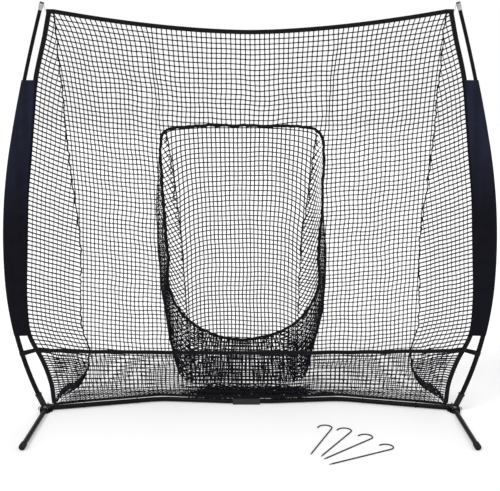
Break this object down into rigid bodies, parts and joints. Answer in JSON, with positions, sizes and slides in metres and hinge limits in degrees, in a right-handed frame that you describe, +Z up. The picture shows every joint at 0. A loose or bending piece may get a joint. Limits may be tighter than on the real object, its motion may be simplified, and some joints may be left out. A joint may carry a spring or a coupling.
{
  "type": "pitching target net",
  "caption": "Free-standing sports net on a bent tube base with folding legs, bowed push-together poles, a square-mesh net with a strike-zone opening and a catch pocket behind it",
  "frame": {"origin": "on the floor, under the middle of the base coupler's bore, in the net's mid-plane", "axes": "+Z up, +X to the pitcher's right, +Y away from the pitcher"},
  "size_m": [2.5744, 1.1476, 2.1379],
  "materials": {
    "tube_paint": "satin black paint",
    "bracket_paint": "satin black paint",
    "hardware": "zinc plated",
    "ferrule": "zinc plated",
    "tip_cap": "matte grey",
    "foot_rubber": "matte black",
    "sleeve_cloth": "coarse woven cloth",
    "webbing": "flat woven webbing",
    "netting": "knotted twine",
    "cord": "braided cord",
    "stake_wire": "galvanised wire"
  },
  "bodies": {
    "frame": {"base_coupler": "bracket_paint", "left_base_tube": "tube_paint", "right_base_tube": "tube_paint", "left_corner_bracket": "bracket_paint", "right_corner_bracket": "bracket_paint", "base_bolts": "hardware", "left_pole_socket": "bracket_paint", "right_pole_socket": "bracket_paint", "left_leg_bolt": "hardware", "right_leg_bolt": "hardware", "left_pole_lower": "tube_paint", "right_pole_lower": "tube_paint", "left_pole_middle": "tube_paint", "right_pole_middle": "tube_paint", "left_pole_upper": "tube_paint", "right_pole_upper": "tube_paint", "left_pole_tip": "ferrule", "right_pole_tip": "ferrule", "left_tip_cap": "tip_cap", "right_tip_cap": "tip_cap", "left_top_cord": "cord", "right_top_cord": "cord", "left_sleeve": "sleeve_cloth", "right_sleeve": "sleeve_cloth", "top_binding": "webbing", "left_side_binding": "webbing", "right_side_binding": "webbing", "bottom_binding": "webbing", "front_strap": "webbing", "left_strap_tab": "webbing", "right_strap_tab": "webbing", "net_ties": "webbing", "corner_tabs": "webbing", "back_net": "netting", "left_side_net": "netting", "right_side_net": "netting", "lip_net": "netting", "strike_rim": "webbing", "pocket_net": "netting", "left_corner_ring": "hardware", "right_corner_ring": "hardware", "left_guy_hook": "hardware", "right_guy_hook": "hardware", "ground_stake_1": "stake_wire", "ground_stake_2": "stake_wire", "ground_stake_3": "stake_wire", "ground_stake_4": "stake_wire"},
    "left_leg": {"left_leg": "tube_paint", "left_foot_cap": "foot_rubber"},
    "right_leg": {"right_leg": "tube_paint", "right_foot_cap": "foot_rubber"},
    "left_button": {"left_snap_button": "hardware"},
    "right_button": {"right_snap_button": "hardware"}
  },
  "joints": [
    {"name": "left_leg_fold", "type": "hinge", "parent": "frame", "child": "left_leg", "pos_m": [-1.095, -0.145, 0.016], "axis": [0, 0, 1], "range_deg": [0, 100]},
    {"name": "right_leg_fold", "type": "hinge", "parent": "frame", "child": "right_leg", "pos_m": [1.095, -0.145, 0.016], "axis": [0, 0, -1], "range_deg": [0, 100]},
    {"name": "left_button_press", "type": "slide", "parent": "frame", "child": "left_button", "axis": [0.919, 0, 0.3943], "range_m": [0, 0.004], "stiffness_N_per_m": 500, "springref_m": -0.002},
    {"name": "right_button_press", "type": "slide", "parent": "frame", "child": "right_button", "axis": [-0.919, 0, 0.3943], "range_m": [0, 0.004], "stiffness_N_per_m": 500, "springref_m": -0.002}
  ]
}
